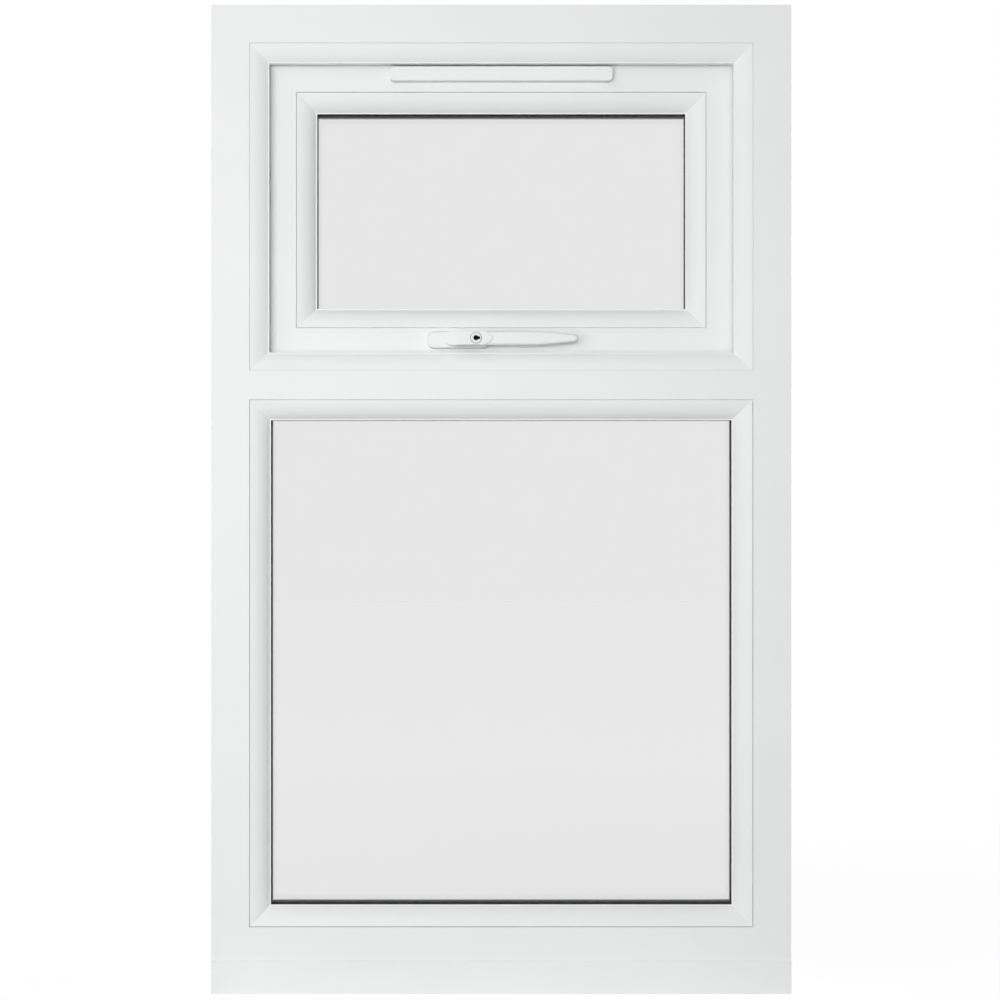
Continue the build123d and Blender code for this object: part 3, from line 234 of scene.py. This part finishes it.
# Seals and gaskets: black rubber lengths, pushed into grooves and bedded on the glass.
# The rubber is matt with a fine bloom.
rubber = finish("black_rubber", low=(0.018, 0.018, 0.020), high=(0.032, 0.033, 0.036),
                rough=(0.55, 0.75), scale=1400.0, height=0.00006, strength=0.3)
dress(rubber, "frame_weather_seal", "sash_weather_seal", "fixed_bead_gasket", "fixed_outer_gasket",
      "sash_bead_gasket", "sash_outer_gasket")

# Sealed units: two clear panes each, on a dark warm-edge spacer bar full of drying beads.
# Two rows of thin near-black discs on the bar's cavity side stand for its fine holes; their black is
# painted shade inside the holes.
# Packers of coloured plastic carry the units' weight on the frame.
GLASS_COLOUR = (0.888, 0.888, 0.888, 1.0)
GLASS_IOR = 1.46
GLASS_ROUGH = (0.0, 0.012)
GLASS_WIPE = {"scale": 14.0, "stretch": (1.0, 1.0, 0.35), "detail": 3.0}
glass = bpy.data.materials.new("clear_float_glass")
glass.use_nodes = True
glass_tree = glass.node_tree
glass_shader = glass_tree.nodes["Principled BSDF"]
glass_shader.inputs["Base Color"].default_value = GLASS_COLOUR
glass_shader.inputs["Transmission Weight"].default_value = 1.0
glass_shader.inputs["IOR"].default_value = GLASS_IOR
glass_place = step(glass_tree, "ShaderNodeTexCoord", {}).outputs["Object"]
wipe = noise(glass_tree, glass_place, **GLASS_WIPE)
glass_tree.links.new(between(glass_tree, wipe, *GLASS_ROUGH), glass_shader.inputs["Roughness"])
dress(glass, "fixed_inner_pane", "fixed_outer_pane", "sash_inner_pane", "sash_outer_pane")
spacer = finish("warm_edge_spacer", low=(0.040, 0.056, 0.064), high=(0.054, 0.073, 0.082),
                rough=(0.42, 0.58), scale=1100.0, height=0.00004, strength=0.3)
dress(spacer, "fixed_spacer_bar", "sash_spacer_bar")


def opened_tree(name, **inputs):
    """A new tree of geometry nodes with named inputs, and its input sockets."""
    tree = bpy.data.node_groups.new(name, "GeometryNodeTree")
    tree.interface.new_socket("Geometry", in_out="OUTPUT", socket_type="NodeSocketGeometry")
    tree.interface.new_socket("Points", in_out="INPUT", socket_type="NodeSocketGeometry")
    for label, kind in inputs.items():
        tree.interface.new_socket(label, in_out="INPUT", socket_type=f"NodeSocket{kind}")
    return tree, tree.nodes.new("NodeGroupInput").outputs


def gathered(tree, *parts):
    """Several geometries as one."""
    joined = tree.nodes.new("GeometryNodeJoinGeometry")
    for part in reversed(parts):
        tree.links.new(part, joined.inputs["Geometry"])
    return joined.outputs["Geometry"]


def spread_apart(tree, geometry, spacing, sides, axis):
    """Copies of a geometry, each shifted along an axis by its own share of the spacing."""
    copies = []
    for side in sides:
        offset = step(tree, "ShaderNodeMath", {0: spacing, 1: side}, operation="MULTIPLY")
        shift = step(tree, "ShaderNodeCombineXYZ", {axis: offset.outputs[0]})
        copies.append(step(tree, "GeometryNodeTransform",
                           {"Geometry": geometry, "Translation": shift.outputs[0]}).outputs[0])
    return gathered(tree, *copies)


def closed_tree(tree, geometry, material):
    """Ends a tree in plain geometry with its material."""
    plain = step(tree, "GeometryNodeRealizeInstances", {"Geometry": geometry})
    coated = step(tree, "GeometryNodeSetMaterial", {"Geometry": plain.outputs[0], "Material": material})
    step(tree, "NodeGroupOutput", {"Geometry": coated.outputs[0]})


def grown(name, tree, values, body, points=None):
    """The tree's result as one plain mesh that rides on a body."""
    piece = bpy.data.objects.new(name, points or bpy.data.meshes.new(f"{name}_start"))
    scene.collection.objects.link(piece)
    modifier = piece.modifiers.new(name, "NODES")
    modifier.node_group = tree
    for item in tree.interface.items_tree:
        if item.in_out == "INPUT" and item.name in values:
            modifier[item.identifier] = values[item.name]
    ready = piece.evaluated_get(bpy.context.evaluated_depsgraph_get())
    mesh = bpy.data.meshes.new_from_object(ready)
    piece.modifiers.remove(modifier)
    piece.data = mesh
    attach(piece, body)


SPACER_REACH = 0.0125
SPACER_HOLES = {"Radius": 0.0006, "Pitch": 0.007, "Row Spacing": 0.009, "Sink": 0.0001}
HOLE_SIDES = 8
hole_tree, given = opened_tree("spacer_holes", **{
    "Width": "Float", "Height": "Float", "Centre": "Vector", "Radius": "Float", "Pitch": "Float",
    "Row Spacing": "Float", "Sink": "Float", "Material": "Material"})
bar_line = step(hole_tree, "GeometryNodeCurvePrimitiveQuadrilateral",
                {"Width": given["Width"], "Height": given["Height"]})
places = step(hole_tree, "GeometryNodeCurveToPoints",
              {"Curve": bar_line.outputs[0], "Length": given["Pitch"]}, mode="LENGTH")
inwards = step(hole_tree, "ShaderNodeVectorMath", {0: places.outputs["Tangent"], 1: (0.0, 0.0, 1.0)},
               operation="CROSS_PRODUCT")
hole_turn = step(hole_tree, "FunctionNodeAlignRotationToVector", {"Vector": inwards.outputs[0]}, axis="Z")
hole = step(hole_tree, "GeometryNodeMeshCylinder",
            {"Vertices": HOLE_SIDES, "Radius": given["Radius"], "Depth": given["Sink"]})
row = step(hole_tree, "GeometryNodeInstanceOnPoints", {
    "Points": places.outputs["Points"], "Instance": hole.outputs["Mesh"], "Rotation": hole_turn.outputs[0]})
rows = spread_apart(hole_tree, row.outputs[0], given["Row Spacing"], (-0.5, 0.5), "Z")
stood_rows = step(hole_tree, "GeometryNodeTransform",
                  {"Geometry": rows, "Rotation": UPRIGHT, "Translation": given["Centre"]})
closed_tree(hole_tree, stood_rows.outputs[0], given["Material"])
# Near-black discs standing for the holes: painted shade inside each hole.
hole_painted_shade = finish("spacer_hole_painted_shade", low=(0.006, 0.006, 0.007), high=(0.010, 0.010, 0.011),
                    rough=(0.7, 0.85), scale=900.0, height=0.00002, strength=0.2)
for light, body in (("fixed", "frame"), ("sash", "sash")):
    low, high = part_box(f"{light}_spacer_bar")
    grown(f"{light}_spacer_holes", hole_tree, {
        "Width": high[0] - low[0] - 2 * SPACER_REACH, "Height": high[2] - low[2] - 2 * SPACER_REACH,
        "Centre": [(a + b) / 2 for a, b in zip(low, high)], "Material": hole_painted_shade, **SPACER_HOLES},
        body)
packer_blue = finish("packer_blue", low=(0.05, 0.12, 0.30), high=(0.07, 0.15, 0.34), rough=(0.45, 0.6),
                     scale=900.0, height=0.00005, strength=0.3)
dress(packer_blue, "fixed_glazing_packers", "sash_glazing_packers")

# Glazing beads: sculpted lengths of the same white plastic, extruded and mitred at the corners.
# They clip in from the room and hold the sealed units against the outer gaskets.
for light in ("fixed", "sash"):
    dress(upright_white, f"{light}_bead_left", f"{light}_bead_right")
    dress(level_white, f"{light}_bead_top", f"{light}_bead_bottom")

# Sash: the same hollow white plastic as the frame, mitred and welded at the corners.
# A flange round its weather side closes over the frame.
dress(upright_white, "sash_stile_left", "sash_stile_right")
dress(level_white, "sash_top_rail", "sash_bottom_rail")

# Friction stays: pressed stainless steel, brushed along its length and riveted at the pivots.
# Flush cross-head screws hold the tracks to the jambs and the bars to the sash.
brushed_steel = finish("brushed_stainless", low=(0.40, 0.40, 0.395), high=(0.47, 0.47, 0.465),
                       rough=(0.26, 0.42), scale=1500.0, height=0.00003, strength=0.3,
                       stretch=(1.0, 1.0, 0.02), detail=3.0, metal=1.0)
dress(brushed_steel, *[f"stay_{piece}_{side}" for side in ("left", "right")
                       for piece in ("track", "sash_bar", "short_arm", "long_arm")])
SCREW_HEAD = {"Radius": 0.00205, "Depth": 0.0012, "Recess Length": 0.0024, "Recess Width": 0.0006,
              "Recess Depth": 0.0016}
HEAD_SIDES = 24
screw_tree, given = opened_tree("cross_screws", **{
    "Radius": "Float", "Depth": "Float", "Recess Length": "Float", "Recess Width": "Float",
    "Recess Depth": "Float", "Material": "Material"})
head = step(screw_tree, "GeometryNodeMeshCylinder",
            {"Vertices": HEAD_SIDES, "Radius": given["Radius"], "Depth": given["Depth"]})
half_depth = step(screw_tree, "ShaderNodeMath", {0: given["Depth"], 1: 0.5}, operation="MULTIPLY")
recess_lift = step(screw_tree, "ShaderNodeCombineXYZ", {"Z": half_depth.outputs[0]})
crossed = head.outputs["Mesh"]
for across, along in (("Recess Width", "Recess Length"), ("Recess Length", "Recess Width")):
    bar_size = step(screw_tree, "ShaderNodeCombineXYZ",
                    {"X": given[across], "Y": given[along], "Z": given["Recess Depth"]})
    bar = step(screw_tree, "GeometryNodeMeshCube", {"Size": bar_size.outputs[0]})
    lifted = step(screw_tree, "GeometryNodeTransform",
                  {"Geometry": bar.outputs["Mesh"], "Translation": recess_lift.outputs[0]})
    crossed = step(screw_tree, "GeometryNodeMeshBoolean",
                   {"Mesh 1": crossed, "Mesh 2": lifted.outputs[0]},
                   operation="DIFFERENCE").outputs["Mesh"]
facing = step(screw_tree, "GeometryNodeInputNamedAttribute", {"Name": "facing"}, data_type="FLOAT_VECTOR")
screw_turn = step(screw_tree, "FunctionNodeAlignRotationToVector",
                  {"Vector": facing.outputs["Attribute"]}, axis="Z")
screws = step(screw_tree, "GeometryNodeInstanceOnPoints", {
    "Points": given["Points"], "Instance": crossed, "Rotation": screw_turn.outputs[0]})
closed_tree(screw_tree, screws.outputs[0], given["Material"])
screw_steel = finish("screw_steel", low=(0.62, 0.62, 0.61), high=(0.70, 0.70, 0.69), rough=(0.20, 0.32),
                     scale=1800.0, height=0.00002, strength=0.2, metal=1.0)


def screwed(name, places, body):
    """Flush cross-head screws at places, each with the way that its head faces."""
    points = bpy.data.meshes.new(f"{name}_points")
    sink = SCREW_HEAD["Depth"] / 2
    points.from_pydata([Vector(place) - Vector(way) * sink for place, way in places], [], [])
    ways = points.attributes.new("facing", "FLOAT_VECTOR", "POINT")
    ways.data.foreach_set("vector", [value for _, way in places for value in way])
    grown(name, screw_tree, {"Material": screw_steel, **SCREW_HEAD}, body, points)


STAY_LINE_Y = 0.015
BAR_FACE_X = 0.2554
BAR_SCREW_Z = (0.793, 0.848)
TRACK_FACE_X = 0.2626
TRACK_SCREW_Z = (0.80975, 0.980)
screwed("stay_bar_screws", [((side * BAR_FACE_X, STAY_LINE_Y, z), (side, 0, 0))
                            for side in (-1, 1) for z in BAR_SCREW_Z], "sash")
screwed("stay_track_screws", [((side * TRACK_FACE_X, STAY_LINE_Y, z), (-side, 0, 0))
                              for side in (-1, 1) for z in TRACK_SCREW_Z], "frame")

# Espagnolette: zinc-plated steel in the bottom edge of the sash, driven by the handle's spindle.
# Its keeps are screwed to the transom.
zinc = finish("zinc_plate", low=(0.44, 0.435, 0.41), high=(0.53, 0.525, 0.50), rough=(0.30, 0.48),
              scale=800.0, height=0.00004, strength=0.3, stretch=(0.05, 1.0, 1.0), detail=3.0, metal=1.0)
dress(zinc, "espag_faceplate", "espag_gearbox", "espag_drive_rod", "espag_cams", "espag_keeps",
      "espag_pinion", "handle_spindle")
KEEP_FACE_Z = 0.6564
KEEP_SCREW_X = (-0.125, -0.095, 0.095, 0.125)
screwed("keep_screws", [((x, STAY_LINE_Y, KEEP_FACE_Z), (0, 0, 1)) for x in KEEP_SCREW_X], "frame")

# Handle: a die-cast lever on its base, powder-coated white, with a key lock in its cap.
# The lock's turned face is pale with a bright ring. Its dark outline is painted shade at the rim, and the
# near black inside the keyway cut is painted shade.
coated_white = finish("powder_coat_white", low=(0.835, 0.845, 0.842), high=(0.855, 0.863, 0.860),
                      rough=(0.28, 0.38), scale=1600.0, height=0.00005, strength=0.22)
dress(coated_white, "handle_base", "handle_lever")
LOCK_CENTRE = (-0.0264, 0.689)
LOCK_RADIUS = 0.00592
LOCK_FACE_Y = -0.0456
LOCK_FACE = (0.76, 0.77, 0.78)
LOCK_RING = (0.92, 0.92, 0.93)
# Pale face and bright ring are the metal's own colour; the outermost near-black band is painted shade at
# the rim.
LOCK_RINGS_AND_RIM_SHADE = ((0.0, LOCK_FACE), (0.82, LOCK_RING), (0.93, (0.10, 0.10, 0.11)))
# Near black painted inside the keyway cut, behind the face, as painted shade.
KEYWAY_PAINTED_SHADE = (0.008, 0.008, 0.009, 1.0)
chrome = finish("lock_chrome_painted_shade", low=LOCK_FACE, high=LOCK_RING, rough=(0.10, 0.2), scale=1200.0,
                height=0.00002, strength=0.2, metal=1.0)
lock_tree = chrome.node_tree
lock_place = step(lock_tree, "ShaderNodeTexCoord", {}).outputs["Object"]
centred = step(lock_tree, "ShaderNodeMapping", {
    "Vector": lock_place, "Location": (-LOCK_CENTRE[0], 0.0, -LOCK_CENTRE[1]), "Scale": (1.0, 0.0, 1.0)})
radius = step(lock_tree, "ShaderNodeVectorMath", {0: centred.outputs["Vector"]}, operation="LENGTH")
from_axis = step(lock_tree, "ShaderNodeMath", {0: radius.outputs["Value"], 1: LOCK_RADIUS},
                 operation="DIVIDE")
rings_and_rim_shade = step(lock_tree, "ShaderNodeValToRGB", {"Fac": from_axis.outputs[0]})
rings_and_rim_shade.color_ramp.interpolation = "CONSTANT"
rings_and_rim_shade.color_ramp.elements.new(LOCK_RINGS_AND_RIM_SHADE[1][0])
for stop, (position, colour) in zip(rings_and_rim_shade.color_ramp.elements, LOCK_RINGS_AND_RIM_SHADE):
    stop.position = position
    stop.color = (*colour, 1.0)
# Everything behind the lock's face, inside the keyway cut, takes the painted shade colour.
depth = step(lock_tree, "ShaderNodeSeparateXYZ", {0: lock_place})
behind = step(lock_tree, "ShaderNodeMath", {0: depth.outputs["Y"], 1: LOCK_FACE_Y},
              operation="GREATER_THAN")
lock_colour_with_painted_shade = step(lock_tree, "ShaderNodeMix", {
    "Factor": behind.outputs[0], "A": rings_and_rim_shade.outputs["Color"], "B": KEYWAY_PAINTED_SHADE}, data_type="RGBA")
lock_tree.links.new(lock_colour_with_painted_shade.outputs["Result"], lock_tree.nodes["Principled BSDF"].inputs["Base Color"])
dress(chrome, "lock_barrel")

# Trickle vent: a moulded white cover that tilts on a plate, and a hood on the weather side.
# Fine wire mesh in the two slots of the plate keeps insects out.
dress(moulded_white, "trickle_vent_flap", "trickle_vent_base", "trickle_vent_hood")
INSECT_MESH = {"Length": 0.0956, "Height": 0.0049, "Wire Radius": 0.00012, "Slot Offset": 0.053,
               "Centre": (0.0, -0.01195, 0.97205), "Wires Across": 65, "Wires Along": 5}
WIRE_SIDES = 4
wire_tree, given = opened_tree("insect_mesh", **{
    "Length": "Float", "Height": "Float", "Wire Radius": "Float", "Slot Offset": "Float",
    "Centre": "Vector", "Wires Across": "Int", "Wires Along": "Int", "Material": "Material"})
weave = step(wire_tree, "GeometryNodeMeshGrid", {
    "Size X": given["Length"], "Size Y": given["Height"],
    "Vertices X": given["Wires Across"], "Vertices Y": given["Wires Along"]})
lines = step(wire_tree, "GeometryNodeMeshToCurve", {"Mesh": weave.outputs["Mesh"]})
wire = step(wire_tree, "GeometryNodeCurvePrimitiveCircle",
            {"Resolution": WIRE_SIDES, "Radius": given["Wire Radius"]})
wires = step(wire_tree, "GeometryNodeCurveToMesh", {
    "Curve": lines.outputs[0], "Profile Curve": wire.outputs[0], "Fill Caps": True})
slots = spread_apart(wire_tree, wires.outputs[0], given["Slot Offset"], (-1.0, 1.0), "X")
stood_mesh = step(wire_tree, "GeometryNodeTransform",
                  {"Geometry": slots, "Rotation": UPRIGHT, "Translation": given["Centre"]})
closed_tree(wire_tree, stood_mesh.outputs[0], given["Material"])
wire_grey = finish("insect_wire_grey", low=(0.10, 0.10, 0.105), high=(0.15, 0.15, 0.155),
                   rough=(0.4, 0.6), scale=1500.0, height=0.00002, strength=0.2)
grown("vent_insect_mesh", wire_tree, {"Material": wire_grey, **INSECT_MESH}, "sash")
